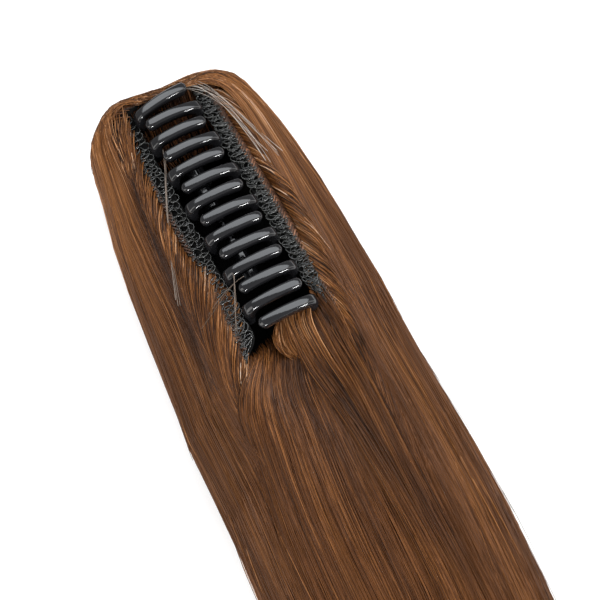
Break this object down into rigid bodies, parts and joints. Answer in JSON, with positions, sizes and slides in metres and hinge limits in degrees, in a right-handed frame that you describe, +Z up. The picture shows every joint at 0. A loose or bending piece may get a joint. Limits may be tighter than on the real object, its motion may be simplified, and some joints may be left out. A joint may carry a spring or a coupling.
{
  "type": "claw clip ponytail hairpiece",
  "caption": "Long straight ponytail hairpiece sewn to a toothed claw clip that opens on a sprung hinge, lying on its back with the teeth up.",
  "frame": {"origin": "middle of the piece's bounding box, on the surface that it lies on", "axes": "+Z up, out of the teeth of the clip; +Y along the hair from the tips to the crown; +X to the right seen from the tips"},
  "size_m": [0.112, 0.4556, 0.0563],
  "materials": {
    "clip_plastic": "glossy black injection-moulded plastic",
    "hinge_steel": "plain drawn steel wire",
    "net_thread": "black crocheted cotton thread",
    "track_stitching": "dark brown sewn weft track",
    "hair_fibre": "straight chestnut synthetic hair with a soft sheen"
  },
  "bodies": {
    "hair": {"crown_hair": "hair_fibre", "tail_hair": "hair_fibre", "hinge_pin": "hinge_steel", "closing_spring": "hinge_steel"},
    "right_side": {"right_jaw": "clip_plastic", "right_net": "net_thread", "right_track": "track_stitching"},
    "left_side": {"left_jaw": "clip_plastic", "left_net": "net_thread", "left_track": "track_stitching"}
  },
  "joints": [
    {"name": "right_jaw_swing", "type": "hinge", "parent": "hair", "child": "right_side", "pos_m": [0.00803, 0.1661, 0.03334], "axis": [0, 1, 0], "range_deg": [0, 40], "stiffness_Nm_per_rad": 0.06, "springref_deg": -45.84},
    {"name": "left_jaw_swing", "type": "hinge", "parent": "hair", "child": "left_side", "pos_m": [0.00803, 0.1661, 0.03334], "axis": [0, -1, 0], "range_deg": [0, 40], "stiffness_Nm_per_rad": 0.06, "springref_deg": -45.84}
  ],
  "couplings": [
    {"joint": "left_jaw_swing", "follows": "right_jaw_swing", "ratio": 1}
  ]
}
